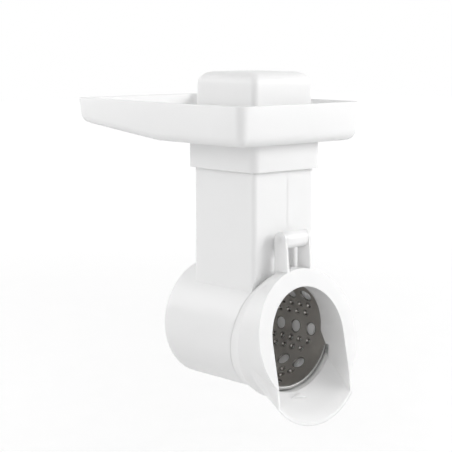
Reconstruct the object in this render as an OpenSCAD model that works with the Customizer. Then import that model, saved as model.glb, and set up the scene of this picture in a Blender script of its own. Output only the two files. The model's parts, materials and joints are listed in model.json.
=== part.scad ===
// Drum grater attachment for a stand mixer. The hopper tube feeds food onto a
// perforated steel drum, and the gratings leave through a hinged outlet cover.
// Y runs along the drum axis towards the mixer, +Z is up, and the origin is the
// centre of the shoulder that seats against the mixer's hub. Millimetres.

/* [Barrel] */
// Outside radius of the barrel round the drum
barrel_r = 46.6; // [42:0.1:60]
// Wall of the barrel
barrel_wall = 2.2; // [1.6:0.1:3]
// Length of the barrel from its back face to the cover joint, at axis height
barrel_l = 79; // [74:0.5:110]
// Thickness of the barrel's back wall
back_wall = 3; // [2:0.1:5]
// Rounding of the barrel's back edge
back_round = 2; // [1:0.1:2.8]
// Forward lean of the cover joint for each millimetre of height
joint_lean = 0.19; // [0.1:0.01:0.22]

/* [Feed tube] */
// Width of the feed tube
tube_w = 63.4; // [50:0.1:66]
// Depth of the feed tube, front to back
tube_d = 68.8; // [56:0.1:70]
// Wall of the feed tube
tube_wall = 2.4; // [1.6:0.1:3]
// Rounding of the tube's upright corners
tube_corner_r = 4; // [3:0.1:6]
// Height of the tube's top edge above the drum axis
tube_top = 144.6; // [130:0.1:170]
// How far the tube's front stands forward of the cover joint at axis height
tube_ahead = 9.2; // [8:0.1:9.5]

/* [Tray] */
// Width of the food tray
tray_w = 127.4; // [100:0.1:140]
// Height of the tray
tray_h = 30.1; // [24:0.1:40]
// Overhang of the tray in front of the tube
tray_front = 20.3; // [14:0.1:24]
// Overhang of the tray behind the tube
tray_rear = 110.5; // [90:0.1:120]
// Length of the flat floor behind the tube, before it starts to climb
tray_flat = 13.4; // [8:0.1:40]
// Rise of the rear floor for each millimetre of length
tray_climb = 0.105; // [0.05:0.005:0.12]
// Wall of the tray
tray_wall = 2.2; // [1.6:0.1:3]
// Rounding between the tray's floor and walls
tray_floor_r = 8.5; // [6:0.1:9]
// Rounding of the tray's upright corners
tray_corner_r = 8.5; // [5:0.1:10]
// Inward lean of each tray wall over the tray's height
tray_draft = 1.8; // [0.5:0.1:2.5]
// Wall of the collar that slips over the tube
collar_wall = 3.7; // [2:0.1:4]
// Rounding of the collar's upright corners
collar_corner_r = 7; // [6:0.1:8]
// Depth of the collar below the tray
collar_h = 20.6; // [12:0.1:30]
// Gap between the collar and the tube
collar_gap = 0.25; // [0.2:0.05:0.4]

/* [Pusher] */
// Height of the pusher's cap above the tray floor
cap_h = 50.7; // [40:0.1:60]
// Rounding of the cap's top edge
cap_top_r = 9; // [3:0.1:10]
// Inward lean of the cap's sides over its height
cap_draft = 1; // [0.3:0.1:2]
// Gap between the pusher's stem and the tube
stem_gap = 0.9; // [0.6:0.1:1.2]
// Wall of the hollow pusher
stem_wall = 2.2; // [1.6:0.1:3]
// Height of the pusher's foot
foot_h = 11; // [9.5:0.1:14]
// Depth of the foot's spigot inside the stem
foot_spigot = 5; // [3:0.1:8]
// Gap between the pusher's foot and the drum
foot_gap = 3.6; // [3:0.1:6]

/* [Outlet cover] */
// Length of the cover from the joint to its front face, at axis height
cover_l = 36.1; // [34:0.1:42]
// Wall of the cover
cover_wall = 2.2; // [1.6:0.1:2.4]
// Backward lean of the front face for each millimetre of height
front_lean = 0.204; // [0.1:0.002:0.24]
// How far the cover's ring stands out from the barrel
flare_out = 4.4; // [4:0.1:5]
// Length of the flare at axis height
flare_l = 12.7; // [11:0.1:14]
// Forward lean of the flare's end for each millimetre of height
flare_lean = 0.08; // [0.06:0.01:0.14]
// How far the mouth's edge lies inside the drum's outer face
mouth_inset = 4.3; // [3.9:0.1:6]
// Wall of the mouth's inner collar
mouth_wall = 1.8; // [1.4:0.1:2.2]
// How far the mouth's collar reaches into the drum
mouth_reach = 4; // [2:0.1:5]
// Depth below the axis at which the mouth's straight sides end
mouth_skirt = 14; // [10:0.1:16]
// Slant of the back edge of those sides, for each millimetre of depth
skirt_lean = 0.55; // [0.5:0.05:0.8]
// Depth below the axis at which the slant starts
skirt_start = 4; // [2:0.1:4.2]
// Gap between the drum's front edge and the chute's back edge
chute_gap = 4.3; // [3.6:0.1:6]
// Distance from the flare's end forward to where the chute's skin leaves the ring
chute_start = 7.3; // [5:0.1:8.5]
// Radius of the round under the chute's lip
lip_r = 53.1; // [51:0.1:56]
// Distance of that round's centre below the axis
chute_drop = 12.4; // [8:0.1:16]
// Backward lean of the chute's lip for each millimetre of height
lip_lean = 0.1; // [0.06:0.01:0.2]
// Length of the shroud that reaches back under the drum's front edge
shroud_l = 10.3; // [6:0.1:12]
// Gap between the closed cover and the barrel
cover_seam = 0.2; // [0.15:0.05:0.3]

/* [Hinge] */
// Height of the hinge axis above the cover's ring
hinge_rise = 22.4; // [20:0.1:26]
// Distance of the hinge axis in front of the feed tube
hinge_ahead = 8.8; // [8.5:0.1:10]
// Outside radius of the hinge knuckle and of the ears' round tops
knuckle_r = 5.8; // [5:0.1:7]
// Half length of the hinge knuckle
knuckle_half = 10.9; // [8:0.1:14]
// How far the knuckle's round underside lies below that of a plain round knuckle
knuckle_drop = 1.4; // [0:0.1:2]
// Thickness of each cover ear
ear_t = 2.2; // [1.8:0.1:3]
// Gap between the knuckle and each ear
ear_gap = 0.2; // [0.15:0.05:0.3]
// Radius of the hinge pin
pin_r = 1.75; // [1.5:0.05:2.5]

/* [Drum] */
// Radial gap between the drum and the barrel
drum_gap = 2.5; // [2.2:0.1:3.5]
// Sheet thickness of the drum
drum_sheet = 0.6; // [0.4:0.1:0.8]
// How far the drum stands forward of the cover joint at axis height
drum_ahead = 16; // [15:0.1:16.5]
// Radius of the rolled hoop on the drum's front edge
hoop_r = 0.85; // [0.75:0.05:0.95]
// Number of hole columns round the drum
hole_columns = 9; // [6:1:9]
// Radius of the large holes
large_hole_r = 5; // [4:0.1:5.5]
// Pitch of the large holes along the drum
large_pitch = 17; // [14:0.1:20]
// Distance of the first large hole behind the drum's front edge
large_start = 18.1; // [16:0.1:22]
// Radius of the small holes
small_hole_r = 2.2; // [1.6:0.1:2.4]
// Pitch of the small holes along the drum
small_pitch = 9.6; // [8:0.1:12]
// Distance of the first small hole behind the drum's front edge
small_start = 18.9; // [16:0.1:22]
// Direction of the first column of large holes, from +X towards +Z
column_angle = -8; // [-20:1:20]
// Angle from a large column to the next small column
small_angle_a = 13.5; // [13:0.5:14]
// Angle from a large column to the second small column
small_angle_b = 23; // [22:0.5:24]

/* [Drum hub] */
// Thickness of the hub's plate
hub_plate = 3; // [2:0.1:4]
// Length of the hub's skirt inside the drum
skirt_l = 6; // [5:0.1:6.5]
// Wall of the hub's skirt
skirt_wall = 2.5; // [2:0.1:3.5]
// Radius of the hub's centre boss
boss_r = 12; // [11:0.1:15]
// Closed wall at the boss's front end
boss_cap = 2; // [1.5:0.1:3]
// Width across flats of the hexagonal drive insert
insert_af = 16; // [15:0.1:18]
// Number of stiffening ribs on the hub's plate
rib_count = 6; // [3:1:9]
// Thickness of each rib
rib_t = 2; // [1.5:0.1:3]
// Number of rivets that hold the drum to its hub
rivet_count = 6; // [3:1:9]
// Radius of a rivet's shank
rivet_r = 1.5; // [1.2:0.1:2]
// Radius of a rivet's head
rivet_head_r = 2.6; // [2.4:0.1:2.8]
// Height of a rivet's head
rivet_head_h = 0.8; // [0.6:0.1:1]

/* [Drive shaft] */
// Radius of the shaft's journal
journal_r = 6.35; // [6:0.05:6.6]
// Width of the square driving and driven ends
square_w = 9.5; // [9:0.1:10]
// Length of the driving end behind the shank
square_out = 11; // [8:0.1:12]
// Length of the square nose that carries the drum
nose_square_l = 23; // [18:0.1:28]
// Radius of the shaft's collar
collar_r = 9.5; // [8.8:0.1:10.5]
// Thickness of the shaft's collar
collar_t = 2.8; // [2:0.1:4]
// Gap between the square nose and its insert, on each face
square_gap = 0.1; // [0.05:0.01:0.15]
// Radial gap between a journal or pin and its bearing
run_gap = 0.05; // [0.03:0.01:0.08]
// End gap between turning and still faces
end_gap = 0.1; // [0.1:0.05:0.2]
// Thickness of the thrust washer
washer_t = 1; // [0.8:0.1:1.5]
// Thickness of the retaining clip
clip_t = 1.1; // [0.8:0.1:1.3]
// Depth of the clip's groove in the shaft
clip_groove = 1.1; // [0.8:0.1:1.5]
// Section radius of the rubber grip ring
grip_r = 0.9; // [0.7:0.05:1]

/* [Mounting shank] */
// Radius of the mounting flange
flange_r = 26; // [25.5:0.1:30]
// Thickness of the mounting flange
flange_t = 5; // [4:0.1:7]
// Radius of the shank that enters the mixer's hub
shank_r = 17.4; // [16:0.1:17.6]
// Length of the shank behind the flange
shank_l = 25; // [24:0.1:32]
// Radius of the flange's nose inside the barrel
nose_r = 12.5; // [12:0.1:15]
// Length of the nose from the barrel's back face
nose_l = 10; // [9:0.1:13]
// Gap between the nose and the back wall's hole
nose_gap = 0.2; // [0.1:0.05:0.4]
// Wall of the bearing bushes
bush_wall = 2.1; // [1.5:0.1:2.3]
// Length of the front bush
front_bush_l = 10; // [6:0.1:11]
// Length of the rear bush
rear_bush_l = 11; // [6:0.1:13]
// Length of the shaft seal
seal_l = 4; // [3:0.1:4.5]
// Wall of the shaft seal
seal_wall = 3; // [2.6:0.1:3.4]
// Radius of the clip's recess in the shank's end
recess_r = 11; // [10.8:0.1:12]
// Depth of the clip's recess in the shank's end
recess_l = 3; // [2:0.1:4]
// Radius of the circle that the flange screws lie on
screw_circle = 21.3; // [21.2:0.1:21.6]
// Number of flange screws
screw_count = 4; // [3:1:6]
// Radius of a flange screw's shank
screw_r = 2; // [1.5:0.1:2]
// Radius of a flange screw's head
screw_head_r = 3.6; // [3:0.1:4]
// Height of a flange screw's head
screw_head_h = 2.4; // [1.8:0.1:3]
// Gap round a flange screw in the back wall
screw_gap = 0.2; // [0.1:0.05:0.3]
// Radius of the locating notch in the flange's rim
notch_r = 2.6; // [2:0.1:3]
// Radius of the thumb-screw dimple in the shank
dimple_r = 4.5; // [3:0.1:5]
// Depth of the thumb-screw dimple
dimple_depth = 3; // [2:0.1:4]
// Distance of the dimple's centre behind the shoulder
dimple_y = 7.5; // [6:0.1:9]

/* [Hidden] */

// Facets of full rounds, of rounds inside a hull, and of a rounded corner.
$fn = 96;
hull_fn = 96;
corner_steps = 8;
// Thickness of the thin slices that hulls join, and the overshoot of cuts.
skin = 0.01;
over = 1;
far = 400;

// Stations along the axis.
back_y = -flange_t;
wall_y = back_y - back_wall;
joint_y = back_y - barrel_l;
front_y = joint_y - cover_l;
flare_y = joint_y - flare_l;
chute_skin_y = flare_y - chute_start;
drum_front_y = joint_y - drum_ahead;
tube_front_y = joint_y - tube_ahead;
tube_back_y = tube_front_y + tube_d;
tube_mid_y = (tube_front_y + tube_back_y) / 2;
nose_y = back_y - nose_l;
washer_y = nose_y - end_gap;
collar_y = washer_y - washer_t - end_gap;
drum_back_y = collar_y - collar_t;
bush_front_y = nose_y + seal_l;
recess_y = shank_l - recess_l;
shaft_end_y = shank_l + square_out;
shaft_nose_y = drum_back_y - nose_square_l;
clip_y = recess_y + 2 * end_gap;
grip_y = shaft_nose_y + 3 * grip_r;
chute_back_y = drum_front_y - chute_gap;
shroud_y = chute_back_y + shroud_l;
mouth_back_y = drum_front_y + mouth_reach;

// Radii. The cover's pocket is a little wider than the barrel, so that it clears
// the drum as it swings, and the hoop's centre lies just outside the sheet.
pocket_ease = 0.6;
hoop_out = 0.2;
barrel_in_r = barrel_r - barrel_wall;
ring_r = barrel_r + flare_out;
drum_r = barrel_in_r - drum_gap;
drum_in_r = drum_r - drum_sheet;
pocket_r = barrel_in_r + pocket_ease;
mouth_r = drum_r - mouth_inset;
mouth_out_r = mouth_r + mouth_wall;
shroud_r = pocket_r + mouth_wall;
hoop_mid_r = drum_r + hoop_out;
bore_r = journal_r + run_gap;
bush_r = bore_r + bush_wall;
seal_r = bore_r + seal_wall;
// Room round the clip in its recess.
clip_clear = 1.2;

// Hinge.
hinge_y = tube_front_y - hinge_ahead;
hinge_z = ring_r + hinge_rise;
ear_in_x = knuckle_half + ear_gap;
ear_out_x = ear_in_x + ear_t;
ear_floor = 1;

// Chute. Its sides run on from the mouth's collar, and its lip leaves the ring's
// front face at the height where those sides meet the ring's rim.
lip_half_w = mouth_out_r;
lip_join_z = -sqrt(ring_r * ring_r - lip_half_w * lip_half_w);
lip_y = front_y + (front_lean - lip_lean) * lip_join_z;
// How far the chute's skin starts inside the ring.
chute_tuck = 0.3;

// Tube, tray and pusher.
tube_in_w = tube_w - 2 * tube_wall;
tube_in_d = tube_d - 2 * tube_wall;
floor_z = tube_top + tray_wall;
tray_front_y = tube_front_y - tray_front;
tray_back_y = tube_back_y + tray_rear;
tray_kink_y = tube_back_y + tray_flat;
rim_z = tube_top + tray_h;
cap_z = floor_z + cap_h;
cap_inset = 0.15;
stem_w = tube_in_w - 2 * stem_gap;
stem_d = tube_in_d - 2 * stem_gap;
stem_in_w = stem_w - 2 * stem_wall;
stem_in_d = stem_d - 2 * stem_wall;
stem_corner_r = 2;
cap_corner_r = tube_corner_r + 1;
// Thickness of the foot over the middle of its arch.
foot_plate = 4.5;
foot_arch_r = drum_r + foot_gap;
foot_top_z = foot_arch_r + foot_plate;
foot_z = foot_top_z - foot_h;
foot_slip = 0.1;

// Corner b of the path a-b-c, rounded to radius r, as a list of points.
function unit(v) = v / norm(v);
function corner(a, b, c, r) =
    let (u = unit(a - b), v = unit(c - b), half = acos(u * v) / 2,
         centre = b + unit(u + v) * r / sin(half),
         from = b + u * r / tan(half) - centre,
         turn = (u[0] * v[1] - u[1] * v[0] > 0 ? -1 : 1) * (180 - 2 * half))
    [for (k = [0:corner_steps])
        let (t = turn * k / corner_steps)
        centre + [from[0] * cos(t) - from[1] * sin(t), from[0] * sin(t) + from[1] * cos(t)]];

// Outline with every corner rounded; radii lists one radius for each point.
function rounded(points, radii) =
    let (n = len(points))
    [for (i = [0:n - 1])
        each radii[i] > 0
            ? corner(points[(i + n - 1) % n], points[i], points[(i + 1) % n], radii[i])
            : [points[i]]];

// Round bar along Y from y0 to y1.
module bar_y(r, y0, y1) {
    translate([0, y0, 0]) rotate([-90, 0, 0]) cylinder(r = r, h = y1 - y0);
}

// Ring along Y from y0 to y1.
module ring_y(r_out, r_in, y0, y1) {
    difference() {
        bar_y(r_out, y0, y1);
        bar_y(r_in, y0 - over, y1 + over);
    }
}

// Solid turned about the Y axis from a profile of [radius, y] points.
module turned() {
    rotate([-90, 0, 0]) rotate_extrude() children();
}

// Profile in the Y-Z plane, drawn out evenly to both sides of X = 0.
module across_x(w) {
    translate([-w / 2, 0, 0]) rotate([90, 0, 90]) linear_extrude(w) children();
}

// Profile in the X-Z plane, drawn from y0 to y1.
module along_y(y0, y1) {
    translate([0, y1, 0]) rotate([90, 0, 0]) linear_extrude(y1 - y0) children();
}

// Upright block with rounded upright corners, centred over the feed tube.
module tube_block(w, d, r, z0, z1) {
    translate([0, tube_mid_y, z0]) linear_extrude(z1 - z0) union() {
        square([w - 2 * r, d], center = true);
        square([w, d - 2 * r], center = true);
        for (sx = [-1, 1], sy = [-1, 1]) {
            translate([sx * (w / 2 - r), sy * (d / 2 - r)]) circle(r);
        }
    }
}

// Everything behind (side = 1) or in front of (side = -1) a leaning plane.
module half_space(y, lean, side) {
    across_x(far) polygon([[y - lean * far, -far], [y + lean * far, far],
                           [side * far * 2, far], [side * far * 2, -far]]);
}

// Children, laid flat in the X-Z plane as a thin slice on a leaning plane.
module slice(y, lean) {
    multmatrix([[1, 0, 0, 0], [0, 1, lean, y], [0, 0, 1, 0], [0, 0, 0, 1]])
        rotate([90, 0, 0]) linear_extrude(skin) children();
}

// Feed-tube walls, hinge knuckle and barrel in one moulding.
module housing() {
    color("white") difference() {
        union() {
            intersection() {
                union() {
                    barrel_outside();
                    tube_block(tube_w, tube_d, tube_corner_r, 0, tube_top);
                }
                half_space(joint_y, -joint_lean, 1);
            }
            knuckle();
        }
        bar_y(barrel_in_r, -far, wall_y);
        tube_block(tube_in_w, tube_in_d, stem_corner_r, 0, tube_top + over);
        bar_y(nose_r + nose_gap, wall_y - over, back_y + over);
        screw_places() bar_y(screw_r + screw_gap, wall_y - over, back_y + over);
        translate([0, hinge_y, hinge_z]) rotate([0, 90, 0])
            cylinder(r = pin_r + run_gap, h = far, center = true);
    }
}

module barrel_outside() {
    turned() difference() {
        union() {
            translate([0, joint_y - far / 8]) square([barrel_r, barrel_l + far / 8 - back_round]);
            translate([0, back_y - back_round]) square([barrel_r - back_round, back_round]);
            translate([barrel_r - back_round, back_y - back_round]) circle(back_round);
        }
        translate([-far, -far]) square([far, 2 * far]);
    }
}

// Hinge knuckle, and the web up to its axis that carries it on the tube's front.
module knuckle() {
    across_x(2 * knuckle_half) union() {
        for (drop = [0, knuckle_drop]) {
            translate([hinge_y, hinge_z - drop]) circle(knuckle_r);
        }
        translate([hinge_y - knuckle_r, hinge_z - knuckle_drop]) square([knuckle_r, knuckle_drop]);
        translate([hinge_y, hinge_z - knuckle_drop - knuckle_r])
            square([hinge_ahead + tube_wall / 2, knuckle_drop + knuckle_r]);
    }
}

module screw_places() {
    for (i = [0:screw_count - 1]) {
        rotate([0, (i + 0.5) * 360 / screw_count, 0]) translate([screw_circle, 0, 0]) children();
    }
}

// Flange and shank that hold the attachment in the mixer's hub.
module shank_flange() {
    color("white") difference() {
        union() {
            bar_y(flange_r, back_y, 0);
            bar_y(nose_r, nose_y, back_y);
            bar_y(shank_r, 0, shank_l);
        }
        bar_y(bush_r, nose_y - over, shank_l + over);
        bar_y(seal_r, nose_y - over, bush_front_y);
        bar_y(recess_r, recess_y, shank_l + over);
        screw_places() bar_y(screw_r, back_y - over, -over);
        translate([0, 0, flange_r]) bar_y(notch_r, back_y - over, over);
        translate([-shank_r, dimple_y, 0]) rotate([0, 90, 0])
            cylinder(r1 = dimple_r, r2 = dimple_r / 3, h = dimple_depth);
    }
}

// Pan-head screws that hold the flange, driven from inside the barrel.
module flange_screws() {
    color("silver") screw_places() difference() {
        union() {
            bar_y(screw_r, wall_y, -over);
            bar_y(screw_head_r, wall_y - screw_head_h, wall_y);
        }
        for (turn = [0, 90]) {
            translate([0, wall_y - screw_head_h, 0]) rotate([0, turn, 0])
                cube([screw_head_r, screw_head_h, screw_r / 2], center = true);
        }
    }
}

module front_bush() {
    color("goldenrod") ring_y(bush_r, bore_r, bush_front_y, bush_front_y + front_bush_l);
}

module rear_bush() {
    color("goldenrod") ring_y(bush_r, bore_r, recess_y - rear_bush_l, recess_y);
}

module shaft_seal() {
    color("dimgray") ring_y(seal_r, bore_r, nose_y, bush_front_y);
}

// Square prism along Y.
module square_bar(w, y0, y1) {
    translate([-w / 2, y0, -w / 2]) cube([w, y1 - y0, w]);
}

module drive_shaft() {
    color("silver") difference() {
        union() {
            square_bar(square_w, shaft_nose_y, drum_back_y);
            bar_y(collar_r, drum_back_y, collar_y);
            bar_y(journal_r, collar_y, shank_l);
            intersection() {
                square_bar(square_w, shank_l, shaft_end_y);
                bar_y(journal_r, shank_l, shaft_end_y);
            }
        }
        ring_y(far, journal_r - clip_groove, clip_y - end_gap / 2, clip_y + clip_t + end_gap / 2);
        ring_y(far, square_w / 2 - 2 * grip_r, grip_y - grip_r, grip_y + grip_r);
    }
}

module thrust_washer() {
    color("silver") ring_y(collar_r, bore_r, washer_y - washer_t, washer_y);
}

// Open ring in the shaft's groove that stops the shaft sliding forward.
module retaining_clip() {
    color("dimgray") difference() {
        ring_y(recess_r - clip_clear, journal_r - clip_groove, clip_y, clip_y + clip_t);
        translate([-journal_r / 2, clip_y - over, -far]) cube([journal_r, clip_t + 2 * over, far]);
    }
}

// Rubber ring near the shaft's nose that keeps the drum from sliding off.
module grip_ring() {
    color("dimgray") turned() translate([square_w / 2 - grip_r, grip_y]) circle(grip_r - skin);
}

// Hexagon along Y; r is the radius to its corners.
module hex_y(af, y0, y1) {
    translate([0, y0, 0]) rotate([-90, 0, 0]) cylinder(r = af / sqrt(3), h = y1 - y0, $fn = 6);
}

// Steel insert in the drum's hub that takes the shaft's square nose.
module hub_insert() {
    color("silver") difference() {
        hex_y(insert_af, shaft_nose_y - end_gap, drum_back_y);
        square_bar(square_w + 2 * square_gap, shaft_nose_y - over, drum_back_y + over);
    }
}

// Plate, skirt and boss that carry the drum on the shaft.
module drum_hub() {
    boss_y = shaft_nose_y - end_gap - boss_cap;
    plate_y = drum_back_y - hub_plate;
    color("gainsboro") difference() {
        union() {
            bar_y(drum_in_r, plate_y, drum_back_y);
            ring_y(drum_in_r, drum_in_r - skirt_wall, drum_back_y - skirt_l, drum_back_y);
            bar_y(boss_r, boss_y, drum_back_y);
            for (i = [0:rib_count - 1]) {
                rotate([0, i * 360 / rib_count, 0])
                    translate([0, drum_back_y - skirt_l, -rib_t / 2])
                    cube([drum_in_r - skirt_wall / 2, skirt_l, rib_t]);
            }
        }
        hex_y(insert_af, shaft_nose_y - end_gap, drum_back_y + over);
        rivet_places() cylinder(r = rivet_r, h = skirt_wall + over);
    }
}

// Each rivet's place: Z then points outwards from the drum's axis.
module rivet_places() {
    for (i = [0:rivet_count - 1]) {
        rotate([0, (i + 0.5) * 360 / rivet_count, 0])
            translate([0, drum_back_y - (skirt_l + hub_plate) / 2, drum_in_r - skirt_wall])
            children();
    }
}

module drum_rivets() {
    color("silver") rivet_places() union() {
        cylinder(r = rivet_r, h = skirt_wall + drum_sheet);
        difference() {
            cylinder(r = rivet_head_r, h = skirt_wall + drum_sheet + rivet_head_h);
            translate([0, 0, skirt_wall - drum_in_r]) rotate([90, 0, 0])
                cylinder(r = drum_r, h = far, center = true);
        }
    }
}

// Perforated sheet drum.
module drum_shell() {
    length = drum_back_y - drum_front_y;
    drilled_l = length - skirt_l;
    large_count = floor((drilled_l - large_start - large_hole_r) / large_pitch) + 1;
    small_count = floor((drilled_l - small_start - small_hole_r) / small_pitch) + 1;
    stagger_count = floor((drilled_l - small_start - small_pitch / 2 - small_hole_r) / small_pitch) + 1;
    color("silver") difference() {
        ring_y(drum_r, drum_in_r, drum_front_y + hoop_r, drum_back_y);
        for (c = [0:hole_columns - 1]) {
            angle = column_angle + c * 360 / hole_columns;
            holes(angle, large_start, large_pitch, large_count, large_hole_r);
            holes(angle - small_angle_a, small_start, small_pitch, small_count, small_hole_r);
            holes(angle - small_angle_b, small_start + small_pitch / 2, small_pitch,
                  stagger_count, small_hole_r);
        }
        rivet_places() cylinder(r = rivet_r, h = skirt_wall + drum_sheet + over);
    }
}

// One column of holes at an angle about the axis, from +X towards +Z.
module holes(angle, start, pitch, count, r) {
    for (i = [0:count - 1]) {
        translate([0, drum_front_y + start + i * pitch, 0]) rotate([0, 90 - angle, 0])
            translate([0, 0, drum_in_r - over]) cylinder(r = r, h = drum_sheet + 2 * over);
    }
}

// Rolled steel hoop that binds the drum's front edge.
module drum_hoop() {
    color("silver") turned() difference() {
        translate([hoop_mid_r, drum_front_y + hoop_r]) circle(hoop_r, $fn = 32);
        translate([drum_in_r, drum_front_y + hoop_r]) square([drum_sheet, hoop_r]);
    }
}

// The cover's round body: a flare of radius rear_r at its back, then the ring.
module cover_form(wall, rear_r, rear_y, face_y) {
    hull() {
        slice(rear_y, -joint_lean) circle(rear_r, $fn = hull_fn);
        slice(flare_y, -flare_lean) circle(ring_r - wall, $fn = hull_fn);
    }
    intersection() {
        bar_y(ring_r - wall, front_y - ring_r, joint_y);
        half_space(flare_y - skin / 2, -flare_lean, -1);
        half_space(face_y, front_lean, 1);
    }
}

// Outline of the chute: a round of radius r below z, no wider than the chute.
module chute_outline(half_w, r, z) {
    intersection() {
        translate([0, z]) circle(r, $fn = hull_fn);
        translate([-half_w, -far]) square([2 * half_w, far]);
    }
}

// Skin of the chute between the ring and the lip, shrunk by wall.
module chute_form(wall) {
    intersection() {
        hull() {
            slice(chute_skin_y, 0) circle(ring_r - wall - chute_tuck, $fn = hull_fn);
            slice(lip_y + wall, lip_lean)
                chute_outline(lip_half_w - wall, lip_r - wall, -chute_drop);
        }
        half_space(front_y + wall, front_lean, 1);
    }
}

// Trough that carries the gratings from the drum to the lip.
module trough_form(half_w, rear_r, front_r, face_y) {
    hull() {
        slice(chute_back_y, 0) chute_outline(half_w, rear_r, 0);
        slice(face_y, lip_lean) chute_outline(half_w, front_r, -chute_drop);
    }
}

// Passage through the mouth: round above the axis, straight-sided below it.
module mouth_form(r, y0, y1) {
    along_y(y0, y1) intersection() {
        union() {
            circle(r);
            translate([-r, -mouth_skirt]) square([2 * r, mouth_skirt]);
        }
        translate([-r, -mouth_skirt]) square([2 * r, r + mouth_skirt]);
    }
}

// Wall under the drum's front edge that runs back from the trough.
module shroud() {
    intersection() {
        ring_y(shroud_r, pocket_r, chute_back_y - over, shroud_y);
        translate([-lip_half_w, -far, -far]) cube([2 * lip_half_w, far, far]);
    }
}

// Ear that rises from the ring to the hinge, as a Y-Z outline.
module ear_outline() {
    toe = [front_y + front_lean * (ring_r - ear_floor) , ring_r - ear_floor];
    hinge = [hinge_y, hinge_z];
    reach = norm(hinge - toe);
    lean = atan2(hinge[1] - toe[1], hinge[0] - toe[0]) + asin(knuckle_r / reach);
    run = sqrt(reach * reach - knuckle_r * knuckle_r);
    touch = toe + run * [cos(lean), sin(lean)];
    union() {
        translate(hinge) circle(knuckle_r);
        polygon([toe, touch, hinge, [hinge_y + knuckle_r, hinge_z],
                 [hinge_y + knuckle_r, barrel_r - cover_wall], [toe[0], barrel_r - cover_wall]]);
    }
}

module ears() {
    for (side = [-1, 1]) {
        translate([side * (ear_in_x + ear_t / 2), 0, 0]) across_x(ear_t) ear_outline();
    }
}

// Hinged front cover with its mouth, chute and hinge ears.
module outlet_cover() {
    rear_y = joint_y - cover_seam;
    color("white") difference() {
        union() {
            difference() {
                union() {
                    cover_form(0, barrel_r, rear_y, front_y);
                    chute_form(0);
                    ears();
                }
                cover_form(cover_wall, pocket_r, rear_y + over, front_y + cover_wall);
                chute_form(cover_wall);
            }
            intersection() {
                mouth_form(mouth_out_r, lip_y, mouth_back_y);
                half_space(mouth_back_y + skirt_lean * skirt_start, skirt_lean, -1);
                half_space(front_y, front_lean, 1);
            }
            intersection() {
                trough_form(lip_half_w, shroud_r, lip_r, lip_y);
                half_space(front_y, front_lean, 1);
            }
            shroud();
        }
        mouth_form(mouth_r, -far, mouth_back_y + over);
        trough_form(mouth_r, pocket_r, lip_r - mouth_wall, lip_y - over);
        intersection() {
            translate([-far / 2, -far, -far]) cube([far, far, far + lip_join_z]);
            half_space(lip_y, lip_lean, -1);
        }
        translate([-ear_out_x + ear_floor, hinge_y, hinge_z]) rotate([0, 90, 0])
            cylinder(r = pin_r, h = far);
    }
}

module hinge_pin() {
    color("silver") translate([-ear_out_x + ear_floor, hinge_y, hinge_z]) rotate([0, 90, 0])
        cylinder(r = pin_r, h = 2 * ear_out_x - ear_floor);
}

// The tray's block form, shrunk by wall, open above the rim when wall > 0.
module tray_form(wall) {
    front = tray_front_y + wall;
    back = tray_back_y - wall;
    side = tray_w / 2 - wall;
    top = rim_z + (wall > 0 ? over : 0);
    lean = tray_draft * (top - tube_top - wall) / tray_h;
    floor0 = tube_top + wall;
    back_floor = floor0 + tray_climb * (back - tray_draft - tray_kink_y);
    r = tray_floor_r - wall;
    corner_r = tray_corner_r - wall / 2;
    mid_y = (front + back) / 2;
    long = back - front;
    intersection() {
        across_x(tray_w * 2) polygon(rounded(
            [[front, top], [front + lean, floor0], [tray_kink_y, floor0],
             [back - lean, back_floor], [back, top]], [0, r, 0, r, 0]));
        along_y(front - over, back + over) polygon(rounded(
            [[-side, top], [-side + lean, floor0], [side - lean, floor0], [side, top]],
            [0, r, r, 0]));
        translate([0, mid_y, floor0 - over]) linear_extrude(tray_h * 2) union() {
            square([2 * side - 2 * corner_r, long], center = true);
            square([2 * side, long - 2 * corner_r], center = true);
            for (sx = [-1, 1], sy = [-1, 1]) {
                translate([sx * (side - corner_r), sy * (long / 2 - corner_r)]) circle(corner_r);
            }
        }
    }
}

// Food tray with the collar that slips over the tube.
module tray() {
    grow = 2 * (collar_gap + collar_wall);
    slip = 2 * collar_gap;
    color("white") difference() {
        union() {
            difference() {
                tray_form(0);
                tray_form(tray_wall);
            }
            tube_block(tube_w + grow, tube_d + grow, collar_corner_r,
                       tube_top - collar_h, tube_top + tray_wall / 2);
        }
        tube_block(tube_w + slip, tube_d + slip, tube_corner_r + slip / 2,
                   tube_top - collar_h - over, tube_top);
        tube_block(tube_in_w, tube_in_d, stem_corner_r, tube_top - over, rim_z);
    }
}

// Block form of the pusher's cap, with rounded top edges and leaning sides.
module cap_form() {
    w = tube_w / 2 - cap_inset;
    d = tube_d / 2 - cap_inset;
    intersection() {
        across_x(tube_w * 2) polygon(rounded(
            [[tube_mid_y - d, floor_z], [tube_mid_y + d, floor_z],
             [tube_mid_y + d - cap_draft, cap_z], [tube_mid_y - d + cap_draft, cap_z]],
            [0, 0, cap_top_r, cap_top_r]));
        along_y(tube_front_y, tube_back_y) polygon(rounded(
            [[-w, floor_z], [w, floor_z], [w - cap_draft, cap_z], [-w + cap_draft, cap_z]],
            [0, 0, cap_top_r, cap_top_r]));
        tube_block(2 * w, 2 * d, cap_corner_r, floor_z, cap_z);
    }
}

// Hollow pusher: the cap rests on the tray and the stem fills the tube.
module pusher_shell() {
    color("white") difference() {
        union() {
            cap_form();
            tube_block(stem_w, stem_d, stem_corner_r, foot_top_z, floor_z + over);
        }
        tube_block(stem_in_w, stem_in_d, stem_corner_r / 2, foot_top_z - over, cap_z - 2 * stem_wall);
    }
}

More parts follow.
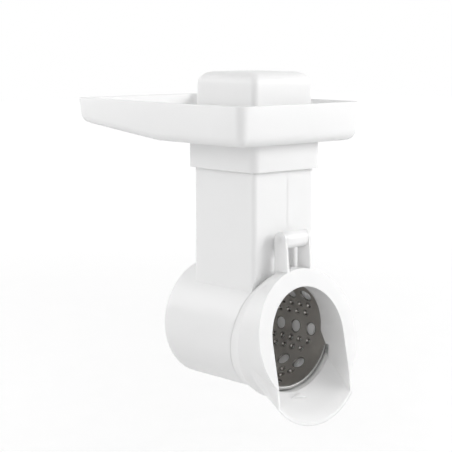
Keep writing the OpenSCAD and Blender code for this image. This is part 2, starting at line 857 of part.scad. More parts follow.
// Foot that closes the pusher's stem, hollowed to follow the drum.
module pusher_foot() {
    color("white") difference() {
        union() {
            tube_block(stem_w, stem_d, stem_corner_r, foot_z, foot_top_z);
            tube_block(stem_in_w - 2 * foot_slip, stem_in_d - 2 * foot_slip, stem_corner_r / 2,
                       foot_top_z - over, foot_top_z + foot_spigot);
        }
        tube_block(stem_in_w - 2 * stem_wall, stem_in_d - 2 * stem_wall, stem_corner_r / 2,
                   foot_top_z, foot_top_z + foot_spigot + over);
        bar_y(foot_arch_r, -far, far);
    }
}

housing();
shank_flange();
flange_screws();
front_bush();
rear_bush();
shaft_seal();
drive_shaft();
thrust_washer();
retaining_clip();
grip_ring();
hub_insert();
drum_hub();
drum_rivets();
drum_shell();
drum_hoop();
outlet_cover();
hinge_pin();
tray();
pusher_shell();
pusher_foot();
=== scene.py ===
"""Looks for the drum grater attachment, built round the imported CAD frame.

Sizes are in millimetres and angles in degrees, unless a comment says otherwise.
"""
import json
import math

import bmesh
import bpy
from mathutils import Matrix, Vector


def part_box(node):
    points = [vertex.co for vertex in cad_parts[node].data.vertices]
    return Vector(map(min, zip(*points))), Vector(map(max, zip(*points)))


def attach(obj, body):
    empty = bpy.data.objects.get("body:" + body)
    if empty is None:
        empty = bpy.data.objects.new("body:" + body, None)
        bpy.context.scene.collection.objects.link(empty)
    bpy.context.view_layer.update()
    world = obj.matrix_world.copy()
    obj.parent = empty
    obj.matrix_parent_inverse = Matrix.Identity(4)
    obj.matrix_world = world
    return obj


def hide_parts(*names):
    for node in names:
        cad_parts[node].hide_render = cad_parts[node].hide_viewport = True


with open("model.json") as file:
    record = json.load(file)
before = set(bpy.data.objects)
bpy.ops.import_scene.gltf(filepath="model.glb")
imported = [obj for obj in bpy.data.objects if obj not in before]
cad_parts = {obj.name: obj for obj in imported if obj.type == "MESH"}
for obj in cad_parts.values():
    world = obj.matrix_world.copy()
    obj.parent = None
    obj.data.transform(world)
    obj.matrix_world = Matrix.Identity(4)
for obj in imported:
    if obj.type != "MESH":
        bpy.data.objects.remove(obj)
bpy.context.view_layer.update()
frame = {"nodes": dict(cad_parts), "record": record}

# A millimetre, in metres
MM = 0.001
TAU = 2 * math.pi
WHITE = (1, 1, 1, 1)


# ---------------------------------------------------------------- materials

EDGE_SAMPLES = 6
THROUGH_TINT = (0.95, 0.95, 0.94, 1)
MOTTLE_SCALE = 35.0
MOTTLE_SHADE = 0.99
PLASTIC_GLOSS_SPREAD = 0.02
PLASTIC_IOR = 1.5
PLASTIC_SUBSURFACE = 0.4
GLOW_DEPTH = 3.5
STAIN_SCALE = 60.0
STAIN_SHARE = 0.35
RUBBER_GRAIN = 700.0
# How far the bump textures stand out, in metres
PLASTIC_RELIEF = 0.0002
METAL_RELIEF = 0.0001
RUBBER_RELIEF = 0.0001


def node_maker(tree):
    """A function that adds one node to a tree and gives it its settings."""

    def node(kind, **settings):
        item = tree.nodes.new(kind)
        for key, value in settings.items():
            if key in item.inputs:
                item.inputs[key].default_value = value
            else:
                setattr(item, key, value)
        return item

    return node


def new_material(name):
    """A new node material, its tree, its shader and a function that adds nodes."""
    mat = bpy.data.materials.new(name)
    mat.use_nodes = True
    tree = mat.node_tree
    return mat, tree, tree.nodes["Principled BSDF"], node_maker(tree)


def ramp(node, low, high, start=0.3, end=0.7):
    """A colour ramp from one colour to another."""
    item = node("ShaderNodeValToRGB")
    item.color_ramp.elements[0].position = start
    item.color_ramp.elements[1].position = end
    item.color_ramp.elements[0].color = (*low, 1)
    item.color_ramp.elements[1].color = (*high, 1)
    return item


def value_range(node, low, high, start=0.3, end=0.7):
    """Turns values from start to end into values from low to high."""
    limits = {"From Min": start, "From Max": end, "To Min": low, "To Max": high}
    return node("ShaderNodeMapRange", **limits)


def rounded_normal(tree, node, relief, radius):
    """Shades hard edges as if they had a small radius, under the surface's relief."""
    edge = node("ShaderNodeBevel", samples=EDGE_SAMPLES)
    edge.inputs["Radius"].default_value = radius * MM
    tree.links.new(edge.outputs["Normal"], relief.inputs["Normal"])


def let_light_through(tree, node, shader, relief, share):
    """Lets a share of the light pass through thin walls, as it does through pale plastic."""
    through = node("ShaderNodeBsdfTranslucent", Color=THROUGH_TINT)
    blend = node("ShaderNodeMixShader", Fac=share)
    output = tree.nodes["Material Output"]
    tree.links.new(relief.outputs["Normal"], through.inputs["Normal"])
    tree.links.new(shader.outputs[0], blend.inputs[1])
    tree.links.new(through.outputs[0], blend.inputs[2])
    tree.links.new(blend.outputs[0], output.inputs["Surface"])


def plastic(name, tint, rough, edge=0.7, through=0.12, sheen=0.34):
    """Moulded plastic: slightly translucent, with faint mottling and a fine mould texture."""
    mat, tree, shader, node = new_material(name)
    place = node("ShaderNodeTexCoord")
    mottle = node("ShaderNodeTexNoise", **{"Scale": MOTTLE_SCALE, "Detail": 3.0})
    skin = node("ShaderNodeTexNoise", **{"Scale": 900.0, "Detail": 4.0})
    colour = ramp(node, [c * MOTTLE_SHADE for c in tint], tint, 0.1, 0.9)
    gloss = value_range(node, rough - PLASTIC_GLOSS_SPREAD, rough + PLASTIC_GLOSS_SPREAD)
    relief = node("ShaderNodeBump", **{"Strength": 0.02, "Distance": PLASTIC_RELIEF})
    rounded_normal(tree, node, relief, edge)
    link = tree.links.new
    link(place.outputs["Object"], mottle.inputs["Vector"])
    link(place.outputs["Object"], skin.inputs["Vector"])
    link(mottle.outputs["Fac"], colour.inputs["Fac"])
    link(mottle.outputs["Fac"], gloss.inputs["Value"])
    link(skin.outputs["Fac"], relief.inputs["Height"])
    link(colour.outputs["Color"], shader.inputs["Base Color"])
    link(gloss.outputs["Result"], shader.inputs["Roughness"])
    link(relief.outputs["Normal"], shader.inputs["Normal"])
    shader.inputs["IOR"].default_value = PLASTIC_IOR
    shader.inputs["Specular IOR Level"].default_value = sheen
    shader.inputs["Subsurface Weight"].default_value = PLASTIC_SUBSURFACE
    shader.inputs["Subsurface Radius"].default_value = (1.0, 1.0, 1.0)
    shader.inputs["Subsurface Scale"].default_value = GLOW_DEPTH * MM
    let_light_through(tree, node, shader, relief, through)
    return mat


def metal(name, dark, light, rough):
    """Metal with fine streaks along X and faint stains."""
    mat, tree, shader, node = new_material(name)
    place = node("ShaderNodeTexCoord")
    stretch = node("ShaderNodeMapping")
    stretch.inputs["Scale"].default_value = (60.0, 4000.0, 4000.0)
    streaks = node("ShaderNodeTexNoise", **{"Scale": 1.0, "Detail": 5.0, "Roughness": 0.65})
    stains = node("ShaderNodeTexNoise", **{"Scale": STAIN_SCALE, "Detail": 2.0})
    mixed = node("ShaderNodeMix", data_type="FLOAT")
    mixed.inputs[0].default_value = STAIN_SHARE
    colour = ramp(node, dark, light)
    gloss = value_range(node, rough - 0.07, rough + 0.1)
    relief = node("ShaderNodeBump", **{"Strength": 0.05, "Distance": METAL_RELIEF})
    rounded_normal(tree, node, relief, 0.15)
    link = tree.links.new
    link(place.outputs["Object"], stretch.inputs["Vector"])
    link(stretch.outputs["Vector"], streaks.inputs["Vector"])
    link(place.outputs["Object"], stains.inputs["Vector"])
    link(streaks.outputs["Fac"], mixed.inputs[2])
    link(stains.outputs["Fac"], mixed.inputs[3])
    link(mixed.outputs[0], colour.inputs["Fac"])
    link(streaks.outputs["Fac"], gloss.inputs["Value"])
    link(streaks.outputs["Fac"], relief.inputs["Height"])
    link(colour.outputs["Color"], shader.inputs["Base Color"])
    link(gloss.outputs["Result"], shader.inputs["Roughness"])
    link(relief.outputs["Normal"], shader.inputs["Normal"])
    shader.inputs["Metallic"].default_value = 1.0
    return mat


def rubber(name):
    """Dusty black rubber."""
    mat, tree, shader, node = new_material(name)
    place = node("ShaderNodeTexCoord")
    dust = node("ShaderNodeTexNoise", **{"Scale": RUBBER_GRAIN, "Detail": 4.0})
    colour = ramp(node, (0.03, 0.03, 0.03), (0.06, 0.06, 0.058))
    gloss = value_range(node, 0.58, 0.72)
    relief = node("ShaderNodeBump", **{"Strength": 0.15, "Distance": RUBBER_RELIEF})
    link = tree.links.new
    link(place.outputs["Object"], dust.inputs["Vector"])
    link(dust.outputs["Fac"], colour.inputs["Fac"])
    link(dust.outputs["Fac"], gloss.inputs["Value"])
    link(dust.outputs["Fac"], relief.inputs["Height"])
    link(colour.outputs["Color"], shader.inputs["Base Color"])
    link(gloss.outputs["Result"], shader.inputs["Roughness"])
    link(relief.outputs["Normal"], shader.inputs["Normal"])
    return mat


SLOT_MATERIALS = {
    "white_plastic": plastic("white_plastic", (0.94, 0.94, 0.94), 0.32),
    "shank_plastic": plastic("shank_plastic", (0.84, 0.84, 0.83), 0.42),
    "hub_plastic": plastic("hub_plastic", (0.80, 0.80, 0.79), 0.4),
    "drum_steel": metal("drum_steel", (0.58, 0.56, 0.54), (0.76, 0.74, 0.71), 0.42),
    "hoop_steel": metal("hoop_steel", (0.34, 0.34, 0.33), (0.46, 0.46, 0.45), 0.5),
    "turned_steel": metal("turned_steel", (0.5, 0.5, 0.49), (0.66, 0.66, 0.64), 0.28),
    "spring_steel": metal("spring_steel", (0.2, 0.2, 0.21), (0.32, 0.32, 0.33), 0.35),
    "bush_bronze": metal("bush_bronze", (0.52, 0.36, 0.18), (0.7, 0.5, 0.28), 0.4),
    "black_rubber": rubber("black_rubber"),
}
# Variants of a slot's material for a few pieces; some carry painted light or painted shade, as
# noted on each
# Painted shade: a darker copy of the white for the tray, to hold its lit faces down
tray_white_painted_shade = plastic("satin_plastic_painted_shade", (0.865, 0.865, 0.865), 0.42, through=0.05, sheen=0.22)
# Painted light: a lighter copy of the white for the pusher's cap, for the light bounced onto it
# from the tray
cap_white_painted_light = plastic("cap_plastic_painted_light", (0.97, 0.97, 0.97), 0.42, sheen=0.25)
line_white = plastic("line_plastic", (0.94, 0.94, 0.94), 0.32, edge=0.02)
# Painted shade: a darker copy of the drum's steel for the hole lips, so the pits look shadowed
pit_steel_painted_shade = metal("pit_steel_painted_shade", (0.24, 0.23, 0.22), (0.44, 0.42, 0.4), 0.2)


def paint(obj, material):
    """One material on the whole of an object."""
    obj.data.materials.clear()
    obj.data.materials.append(material)


node_slots = {part["node"]: part["material_slot"] for part in frame["record"]["subparts"]}
for name, slot in node_slots.items():
    paint(frame["nodes"][name], SLOT_MATERIALS[slot])


# -------------------------------------------------------------- mesh helpers

CORNER_STEPS = 10
RING_STEPS = 128
FILLET_STEPS = 7
RIM_STEPS = 4
EDGE_STEPS = 3
LEAST_CORNER_R = 0.4
KNEE_GAP = 0.1
MERGE_WITHIN = 0.0005
# Faces that meet at less than this are shaded as one surface
SMOOTH_ANGLE = 32.0
HEM_SMOOTH_ANGLE = 40.0
LIP_SMOOTH_ANGLE = 50.0


def box_mm(node):
    """A CAD node's lowest and highest corners, in millimetres."""
    low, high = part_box(node)
    return Vector(low) / MM, Vector(high) / MM


def add_mesh(name, bm, body, slot, smooth_angle=SMOOTH_ANGLE):
    """Turns a bmesh in millimetres into a shaded object that rides a body."""
    bmesh.ops.remove_doubles(bm, verts=bm.verts, dist=MERGE_WITHIN)
    bmesh.ops.recalc_face_normals(bm, faces=bm.faces)
    bmesh.ops.scale(bm, vec=(MM, MM, MM), verts=bm.verts)
    mesh = bpy.data.meshes.new(name)
    bm.to_mesh(mesh)
    bm.free()
    mesh.shade_smooth()
    mesh.set_sharp_from_angle(angle=math.radians(smooth_angle))
    obj = bpy.data.objects.new(name, mesh)
    bpy.context.collection.objects.link(obj)
    paint(obj, SLOT_MATERIALS[slot])
    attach(obj, body)
    return obj


def bridge(bm, rings, closed):
    """Joins rings of equal length with quads; closed joins the last to the first."""
    loops = [[bm.verts.new(point) for point in ring] for ring in rings]
    pairs = list(zip(loops, loops[1:]))
    if closed:
        pairs.append((loops[-1], loops[0]))
    for lower, upper in pairs:
        for i in range(len(lower)):
            j = (i + 1) % len(lower)
            bm.faces.new((lower[i], lower[j], upper[j], upper[i]))
    if not closed:
        bm.faces.new(loops[0][::-1])
        bm.faces.new(loops[-1])


def turned_ring(radius, y, lean=0.0):
    """Circle round the drum's axis at y; lean brings it forward as it rises."""
    ring = []
    for step in range(RING_STEPS):
        turn = TAU * step / RING_STEPS
        z = radius * math.sin(turn)
        ring.append((radius * math.cos(turn), y - lean * z, z))
    return ring


def rounded_rectangle(half_x, front, back, radius, knee):
    """Points round a rectangle, with one more on each long side at y = knee."""
    radius = max(radius, LEAST_CORNER_R)
    near = front + radius
    far = back - radius
    knee = min(max(knee, near + KNEE_GAP), far - KNEE_GAP)
    points = []
    for side, centre_y, start in ((1, near, -90), (1, far, 0), (-1, far, 90), (-1, near, 180)):
        if start == 0:
            points.append((half_x, knee))
        for step in range(CORNER_STEPS + 1):
            angle = math.radians(start + 90 * step / CORNER_STEPS)
            x = side * (half_x - radius) + radius * math.cos(angle)
            points.append((x, centre_y + radius * math.sin(angle)))
        if start == 90:
            points.append((-half_x, knee))
    return points


def fillet(steps=FILLET_STEPS):
    """Sine and cosine of angles from 0 to 90 degrees."""
    angles = [math.pi / 2 * step / steps for step in range(steps + 1)]
    return [(math.sin(angle), math.cos(angle)) for angle in angles]


# --------------------------------------------------------------------- tray

TRAY_WALL = 2.2
TRAY_FLOOR_R = 8.5
TRAY_CORNER_R = 8.5
# How far the walls lean in on their way from the rim down to the floor
TRAY_DRAFT = 1.8
# Rise of the floor for each millimetre behind its flat part, and how far that part reaches
TRAY_CLIMB = 0.105
TRAY_FLAT = 13.4
# Most of a corner's radius that the walls' inset may take
CORNER_SHARE = 0.6
RIM_R = 1.0
# Outline on the flat floor where the mesh changes from the tray's shape to the tube's
FLAT_WIDER = 20.0
FLAT_FRONT = 14.0
FLAT_CORNER_R = 4.0
COLLAR_WALL = 3.7
COLLAR_GAP = 0.25
COLLAR_CORNER_R = 7.0
TUBE_WALL = 2.4
TUBE_CORNER_R = 4.0
STEM_CORNER_R = 2.0
# The cap's sides stand this far inside the tube's
CAP_INSET = 0.15
EDGE_R = 0.5


def tube_ring(grow, radius, z, knee):
    """Ring round the feed tube's outline, grown on every side."""
    low, high = box_mm("pusher_shell")
    grow += CAP_INSET
    outline = rounded_rectangle(high.x + grow, low.y - grow, high.y + grow, radius, knee)
    return [(x, y, z) for x, y in outline]


def build_tray():
    """Tray whose floor climbs to the rear inside evenly rounded edges, and its collar."""
    low, high = box_mm("tray")
    floor = box_mm("housing")[1].z
    cap_back = box_mm("pusher_shell")[1].y + CAP_INSET
    knee = cap_back + TRAY_FLAT
    height = high.z - floor

    def ring(inset, z, climbs):
        """Ring round the tray, inset from its outside; climbs follows the floor's slope."""
        inset += TRAY_DRAFT * (high.z - z) / height
        radius = TRAY_CORNER_R - min(inset, CORNER_SHARE * TRAY_CORNER_R)
        outline = rounded_rectangle(high.x - inset, low.y + inset, high.y - inset, radius, knee)
        rise = TRAY_CLIMB if climbs else 0
        return [(x, y, z + rise * max(0, y - knee)) for x, y in outline]

    inside = floor + TRAY_WALL
    inner_r = TRAY_FLOOR_R - TRAY_WALL
    collar = COLLAR_WALL + COLLAR_GAP
    bore_r = TUBE_CORNER_R + COLLAR_GAP
    rings = []
    for s, c in fillet():
        rings.append(ring(TRAY_FLOOR_R * (1 - s), floor + TRAY_FLOOR_R * (1 - c), True))
    for s, c in fillet(RIM_STEPS):
        rings.append(ring(RIM_R * (1 - c), high.z - RIM_R * (1 - s), False))
    for s, c in fillet(RIM_STEPS):
        rings.append(ring(TRAY_WALL - RIM_R * (1 - s), high.z - RIM_R * (1 - c), False))
    for s, c in reversed(fillet()):
        rings.append(ring(TRAY_WALL + inner_r * (1 - s), inside + inner_r * (1 - c), True))
    flat = rounded_rectangle(high.x / 2 + FLAT_WIDER, low.y + FLAT_FRONT, knee,
                             FLAT_CORNER_R, cap_back)
    rings.append([(x, y, inside) for x, y in flat])
    rings.append(tube_ring(-TUBE_WALL, STEM_CORNER_R, inside, knee))
    rings.append(tube_ring(-TUBE_WALL, STEM_CORNER_R, floor, knee))
    rings.append(tube_ring(COLLAR_GAP, bore_r, floor, knee))
    for s, c in fillet(EDGE_STEPS):
        grow = COLLAR_GAP + EDGE_R * (1 - c)
        rings.append(tube_ring(grow, bore_r, low.z + EDGE_R * (1 - s), knee))
    for s, c in fillet(EDGE_STEPS):
        grow = collar - EDGE_R * (1 - s)
        rings.append(tube_ring(grow, COLLAR_CORNER_R, low.z + EDGE_R * (1 - c), knee))
    for s, c in fillet(EDGE_STEPS):
        grow = collar + EDGE_R * (1 - c)
        rings.append(tube_ring(grow, COLLAR_CORNER_R, floor - EDGE_R * (1 - s), knee))
    rings.append([(x, y, floor) for x, y in flat])
    bm = bmesh.new()
    bridge(bm, rings, closed=True)
    tray = add_mesh("tray_moulding", bm, "hopper", "white_plastic")
    # Painted shade: the tray wears a darker copy of the white
    paint(tray, tray_white_painted_shade)
    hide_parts("tray")


# ------------------------------------------------------------------- pusher

CAP_TOP_R = 9.0
CAP_CORNER_R = 5.0
CAP_DRAFT = 1.0
CAP_STEPS = 10
STEM_GAP = 0.9
STEM_WALL = 2.2


def build_pusher():
    """Hollow pusher: a cap with generous round edges over a square-shouldered stem."""
    low, high = box_mm("pusher_shell")
    base = box_mm("housing")[1].z + TRAY_WALL
    knee = (low.y + high.y) / 2

    def cap_ring(inset, z):
        """Ring round the cap, inset from its sides, which lean in as they rise."""
        inset += CAP_DRAFT * (z - base) / (high.z - base)
        return tube_ring(-CAP_INSET - inset, CAP_CORNER_R, z, knee)

    stem = -TUBE_WALL - STEM_GAP
    hollow = stem - STEM_WALL
    rings = []
    for s, c in fillet(CAP_STEPS):
        rings.append(cap_ring(CAP_TOP_R * (1 - s), high.z - CAP_TOP_R * (1 - c)))
    for s, c in fillet(EDGE_STEPS):
        rings.append(cap_ring(EDGE_R * (1 - c), base + EDGE_R * (1 - s)))
    rings.append(tube_ring(stem, STEM_CORNER_R, base, knee))
    rings.append(tube_ring(stem, STEM_CORNER_R, low.z, knee))
    rings.append(tube_ring(hollow, STEM_CORNER_R / 2, low.z, knee))
    rings.append(tube_ring(hollow, STEM_CORNER_R / 2, high.z - 2 * STEM_WALL, knee))
    bm = bmesh.new()
    bridge(bm, rings, closed=False)
    pusher = add_mesh("pusher_moulding", bm, "pusher", "white_plastic")
    # Painted light: the cap wears a lighter copy of the white
    paint(pusher, cap_white_painted_light)
    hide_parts("pusher_shell")


# --------------------------------------------------------------------- drum

SHEET = 0.6
HOOP_R = 0.85
HEM_WIDTH = 2.5
HEM_DEPTH = 1.8
HEM_EDGE_R = 0.7
HEM_STEPS = 5
# The holes repeat in columns round the drum; a START is a row's distance behind its front
HOLE_COLUMNS = 9
COLUMN_ANGLE = -8.0
LARGE_R = 5.0
LARGE_MOUTH_R = 4.7
LARGE_SPREAD = 0.8
LARGE_RISE = 0.9
LARGE_START = 18.1
LARGE_PITCH = 17.0
LARGE_COUNT = 3
SMALL_R = 2.2
SMALL_MOUTH_R = 1.0
SMALL_SPREAD = 1.1
SMALL_RISE = 1.9
SMALL_START = 18.9
SMALL_PITCH = 9.6
SMALL_COUNT = 6
# Each row of small holes: its angle from the column, and its shift in pitches
SMALL_TURNS = ((13.5, 0.0), (23.0, 0.5))
LIP_STEPS = 20


def add_lip(bm, angle, y, hole_r, mouth_r, spread, rise, sheet_r):
    """Pressed lip round one hole: the sheet dips outward into a narrower, raised mouth."""
    inside = sheet_r - SHEET
    funnel = hole_r - mouth_r
    # Reach from the hole's middle, and radius from the drum's axis
    profile = [
        (hole_r + spread, inside + 0.02),
        (hole_r + 0.5 * spread, inside - 0.04),
        (hole_r - 0.05 * funnel, inside + 0.1 * rise),
        (hole_r - 0.35 * funnel, inside + 0.3 * rise),
        (hole_r - 0.7 * funnel, inside + 0.62 * rise),
        (mouth_r, inside + rise),
        (mouth_r + 0.15, inside + rise + 0.12),
        (mouth_r + 0.4, inside + rise),
        (hole_r + 0.15, max(sheet_r + 0.05, inside + 0.45 * rise)),
        (hole_r + spread, sheet_r - 0.02),
    ]
    rings = []
    for reach, radius in profile:
        ring = []
        for step in range(LIP_STEPS):
            turn = TAU * step / LIP_STEPS
            around = angle + reach * math.cos(turn) / sheet_r
            along = y + reach * math.sin(turn)
            ring.append((radius * math.cos(around), along, radius * math.sin(around)))
        rings.append(ring)
    bridge(bm, rings, closed=True)


def build_drum_lips():
    """Pressed lips round every hole of the drum."""
    low, high = box_mm("drum_shell")
    front = low.y - HOOP_R
    large = (LARGE_R, LARGE_MOUTH_R, LARGE_SPREAD, LARGE_RISE)
    small = (SMALL_R, SMALL_MOUTH_R, SMALL_SPREAD, SMALL_RISE)
    bm = bmesh.new()
    for column in range(HOLE_COLUMNS):
        angle = COLUMN_ANGLE + column * 360 / HOLE_COLUMNS
        for i in range(LARGE_COUNT):
            y = front + LARGE_START + i * LARGE_PITCH
            add_lip(bm, math.radians(angle), y, *large, high.x)
        for turn, shift in SMALL_TURNS:
            for i in range(SMALL_COUNT):
                y = front + SMALL_START + (i + shift) * SMALL_PITCH
                add_lip(bm, math.radians(angle - turn), y, *small, high.x)
    lips = add_mesh("drum_hole_lips", bm, "rotor", "drum_steel", LIP_SMOOTH_ANGLE)
    # Painted shade: the lips wear a darker copy of the drum's steel
    paint(lips, pit_steel_painted_shade)


def build_drum_hem():
    """Hem at the drum's mouth: the sheet folds outward into a band with a flat front face."""
    inner_r = box_mm("drum_shell")[1].x - SHEET
    front = box_mm("drum_hoop")[0].y
    middle_r = inner_r + HEM_WIDTH / 2
    middle_y = front + HEM_DEPTH / 2
    profile = []
    for side_r, side_y, start in ((1, 1, 0), (-1, 1, 90), (-1, -1, 180), (1, -1, 270)):
        corner_r = middle_r + side_r * (HEM_WIDTH / 2 - HEM_EDGE_R)
        corner_y = middle_y + side_y * (HEM_DEPTH / 2 - HEM_EDGE_R)
        for step in range(HEM_STEPS + 1):
            turn = math.radians(start + 90 * step / HEM_STEPS)
            radius = corner_r + HEM_EDGE_R * math.cos(turn)
            profile.append((radius, corner_y + HEM_EDGE_R * math.sin(turn)))
    bm = bmesh.new()
    bridge(bm, [turned_ring(radius, y) for radius, y in profile], closed=True)
    hem = add_mesh("drum_hem", bm, "rotor", "hoop_steel", HEM_SMOOTH_ANGLE)
    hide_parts("drum_hoop")


# -------------------------------------------------------------------- cover

# Lean of the joint between cover and barrel, for each millimetre of height
JOINT_LEAN = 0.19
COVER_SEAM = 0.2
SEAM_SHOW = 0.02
SEAM_INSET = 0.03
SEAM_ROOT = 0.5
SEAM_BORE_GAP = 0.8
BARREL_WALL = 2.2


def build_seam_lip():
    """Thin lip on the cover's back edge that closes its joint with the barrel."""
    barrel_r = -box_mm("housing")[0].x
    joint = box_mm("outlet_cover")[1].y - JOINT_LEAN * barrel_r
    outer = barrel_r - SEAM_INSET
    inner = barrel_r - BARREL_WALL + SEAM_BORE_GAP
    root = joint - SEAM_ROOT
    tip = joint + COVER_SEAM - SEAM_SHOW
    profile = ((outer, root), (outer, tip), (inner, tip), (inner, root))
    bm = bmesh.new()
    bridge(bm, [turned_ring(radius, y, JOINT_LEAN) for radius, y in profile], closed=True)
    add_mesh("cover_seam_lip", bm, "cover", "white_plastic")


# Lean of the lip's front face, for each millimetre of height
LIP_LEAN = 0.1
LIP_R = 53.1
LIP_DROP = 12.4
MOUTH_WALL = 1.8
POCKET_R = 45.0
CHUTE_GAP = 4.3
# The mark: each corner's x, and its place between the floor's back edge (0) and the lip (1)
MARK_CORNERS = ((3.2, 0.09), (-7.6, 0.19), (6.2, 0.27))
MARK_RISE = 1.3
MARK_ROOT = 0.2
# Height of the mark's upright sides, and size of its top, as shares
MARK_SIDE = 0.6
MARK_TOP = 0.82


def chute_floor(x, along):
    """Point on the chute's floor, from its back edge (0) to its lip (1)."""
    front_r = LIP_R - MOUTH_WALL
    back_y = box_mm("drum_hoop")[0].y - CHUTE_GAP
    low = box_mm("outlet_cover")[0]
    back = Vector((x, back_y, -math.sqrt(POCKET_R ** 2 - x ** 2)))
    front_z = -LIP_DROP - math.sqrt(front_r ** 2 - x ** 2)
    front = Vector((x, low.y + LIP_LEAN * (front_z - low.z), front_z))
    return back.lerp(front, along)


def build_chute_mark():
    """Small raised triangle moulded into the chute's floor, pointing to the drum."""
    corners = [chute_floor(x, along) for x, along in MARK_CORNERS]
    across = corners[1] - corners[0]
    down = corners[2] - corners[0]
    rise = across.cross(down).normalized()
    if rise.z < 0:
        rise.negate()
    centre = sum(corners, Vector()) / 3
    rings = []
    for scale, height in ((1.0, -MARK_ROOT), (1.0, MARK_SIDE * MARK_RISE), (MARK_TOP, MARK_RISE)):
        rings.append([centre + scale * (corner - centre) + height * rise for corner in corners])
    bm = bmesh.new()
    bridge(bm, rings, closed=False)
    add_mesh("chute_mark", bm, "cover", "white_plastic")


# --------------------------------------------------------------------- tube

PARTING_X = 3.0
PARTING_HALF_W = 0.3
PARTING_RISE = 0.03
# The line's sides stand this proud, and its root lies this deep in the tube's wall
PARTING_SIDE = 0.005
PARTING_ROOT = 0.3
PARTING_TOP_GAP = 0.3
PARTING_FOOT_GAP = 6.0


def build_parting_line():
    """Faint vertical mould line on the feed tube's front."""
    front = box_mm("pusher_shell")[0].y - CAP_INSET
    top = box_mm("housing")[1].z - PARTING_TOP_GAP
    bottom = box_mm("hinge_pin")[1].z + PARTING_FOOT_GAP
    left = PARTING_X - PARTING_HALF_W
    right = PARTING_X + PARTING_HALF_W
    root = front + PARTING_ROOT
    side = front - PARTING_SIDE
    crest = front - PARTING_RISE
    outline = ((left, root), (left, side), (PARTING_X, crest), (right, side), (right, root))
    heights = (bottom, (bottom + top) / 2, top)
    bm = bmesh.new()
    bridge(bm, [[(x, y, z) for x, y in outline] for z in heights], closed=False)
    line = add_mesh("tube_mould_line", bm, "body", "white_plastic")
    paint(line, line_white)


build_tray()
build_pusher()
build_drum_lips()
build_drum_hem()
build_seam_lip()
build_chute_mark()
build_parting_line()


# ---------------------------------------------------------- camera and stage

# Fitted to the outlines in the photograph
CAMERA_AT = (-716.3, -819.6, 224.6)
CAMERA_AZIMUTH = -42.104
CAMERA_ELEVATION = 7.981
SENSOR_W = 36.0
LENS = 108.17
# Sizes from here on are in metres
LAMPS_AIM = (0, -0.05, 0.06)
PAPER_GRAIN = 40.0
PAPER_SPREAD = 0.01
PAPER_ROUGHNESS = 0.9
GLOW_NEAR = 0.2
GLOW_FAR = 2.0


def look_back(azimuth, elevation):
    """Unit vector from the scene towards a camera at these angles."""
    a = math.radians(azimuth)
    e = math.radians(elevation)
    return Vector((math.sin(a) * math.cos(e), -math.cos(a) * math.cos(e), math.sin(e)))


def facing(azimuth, elevation):
    """Rotation of a camera or lamp that stands at these angles and looks back."""
    return look_back(azimuth, elevation).to_track_quat("Z", "Y").to_euler()


def add_camera():
    """Camera at the photograph's place, angle and field of view."""
    data = bpy.data.cameras.new("camera")
    data.sensor_width = SENSOR_W
    data.lens = LENS
    camera = bpy.data.objects.new("camera", data)
    bpy.context.collection.objects.link(camera)
    camera.location = Vector(CAMERA_AT) * MM
    camera.rotation_euler = facing(CAMERA_AZIMUTH, CAMERA_ELEVATION)
    bpy.context.scene.camera = camera


def add_softbox(name, azimuth, elevation, distance, size, level, mirrored=True):
    """A square lamp at an angle round the object; level 1 lights a facing wall as white."""
    data = bpy.data.lights.new(name, "AREA")
    data.size = size
    data.energy = level * (math.pi * distance) ** 2
    lamp = bpy.data.objects.new(name, data)
    lamp.visible_glossy = mirrored
    bpy.context.collection.objects.link(lamp)
    lamp.location = Vector(LAMPS_AIM) + look_back(azimuth, elevation) * distance
    lamp.rotation_euler = facing(azimuth, elevation)


def add_world(ambient, overhead):
    """Pale surroundings: white to the camera and in reflections.

    As light they are dimmer, and dimmest overhead.
    """
    world = bpy.data.worlds.new("studio")
    bpy.context.scene.world = world
    world.use_nodes = True
    tree = world.node_tree
    tree.nodes.clear()
    node = node_maker(tree)
    rays = node("ShaderNodeLightPath")
    glassy = node("ShaderNodeMath", operation="ADD")
    seen = node("ShaderNodeMath", operation="ADD", use_clamp=True)
    place = node("ShaderNodeTexCoord")
    heights = node("ShaderNodeSeparateXYZ")
    dimmer = node("ShaderNodeMapRange", **{"To Min": ambient, "To Max": overhead})
    lit = node("ShaderNodeBackground", Color=WHITE)
    shown = node("ShaderNodeBackground", Color=WHITE, Strength=1.0)
    mix = node("ShaderNodeMixShader")
    out = node("ShaderNodeOutputWorld")
    link = tree.links.new
    link(place.outputs["Generated"], heights.inputs["Vector"])
    link(heights.outputs["Z"], dimmer.inputs["Value"])
    link(dimmer.outputs["Result"], lit.inputs["Strength"])
    link(rays.outputs["Is Glossy Ray"], glassy.inputs[0])
    link(rays.outputs["Is Transmission Ray"], glassy.inputs[1])
    link(rays.outputs["Is Camera Ray"], seen.inputs[0])
    link(glassy.outputs[0], seen.inputs[1])
    link(seen.outputs[0], mix.inputs["Fac"])
    link(lit.outputs[0], mix.inputs[1])
    link(shown.outputs[0], mix.inputs[2])
    link(mix.outputs[0], out.inputs["Surface"])


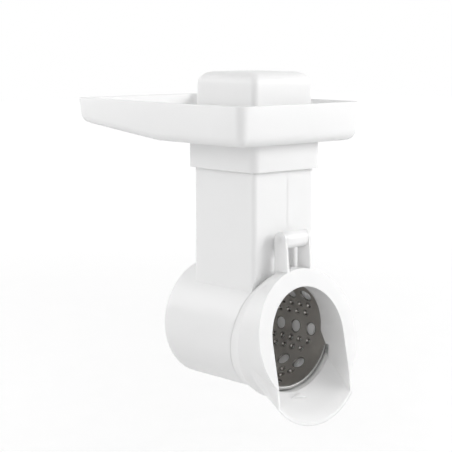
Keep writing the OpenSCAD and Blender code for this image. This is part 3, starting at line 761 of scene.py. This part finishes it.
def add_floor(depth, half, tint, near_glow, far_glow):
    """Pale floor well below the object, which is held up by its shank.

    It whitens with distance, to the camera and in reflections only.
    """
    mesh = bpy.data.meshes.new("floor")
    sides = ((-half, -half), (half, -half), (half, half), (-half, half))
    mesh.from_pydata([(x, y, -depth) for x, y in sides], [], [(0, 1, 2, 3)])
    floor = bpy.data.objects.new("floor", mesh)
    bpy.context.collection.objects.link(floor)
    mat, tree, shader, node = new_material("floor_paper")
    place = node("ShaderNodeTexCoord")
    fibres = node("ShaderNodeTexNoise", **{"Scale": PAPER_GRAIN, "Detail": 3.0})
    colour = ramp(node, [tint - PAPER_SPREAD] * 3, [tint + PAPER_SPREAD] * 3)
    rays = node("ShaderNodeLightPath")
    reach = node("ShaderNodeVectorMath", operation="LENGTH")
    fade = value_range(node, near_glow, far_glow, GLOW_NEAR, GLOW_FAR)
    seen = node("ShaderNodeMath", operation="MAXIMUM")
    shine = node("ShaderNodeMath", operation="MULTIPLY")
    link = tree.links.new
    link(place.outputs["Object"], fibres.inputs["Vector"])
    link(place.outputs["Object"], reach.inputs[0])
    link(fibres.outputs["Fac"], colour.inputs["Fac"])
    link(colour.outputs["Color"], shader.inputs["Base Color"])
    link(reach.outputs["Value"], fade.inputs["Value"])
    link(rays.outputs["Is Camera Ray"], seen.inputs[0])
    link(rays.outputs["Is Glossy Ray"], seen.inputs[1])
    link(seen.outputs[0], shine.inputs[0])
    link(fade.outputs["Result"], shine.inputs[1])
    link(shine.outputs[0], shader.inputs["Emission Strength"])
    shader.inputs["Roughness"].default_value = PAPER_ROUGHNESS
    shader.inputs["Emission Color"].default_value = WHITE
    paint(floor, mat)


bpy.context.scene.view_settings.view_transform = "Standard"
add_camera()
add_world(ambient=0.74, overhead=0.43)
add_floor(depth=0.16, half=6.0, tint=0.74, near_glow=0.24, far_glow=0.62)
add_softbox("front_softbox", 40.0, 25.0, distance=1.5, size=0.7, level=0.6)
add_softbox("side_softbox", -140.0, 28.0, distance=1.2, size=0.7, level=0.31)
add_softbox("fill_softbox", -72.0, 16.0, distance=1.4, size=1.0, level=0.18, mirrored=False)
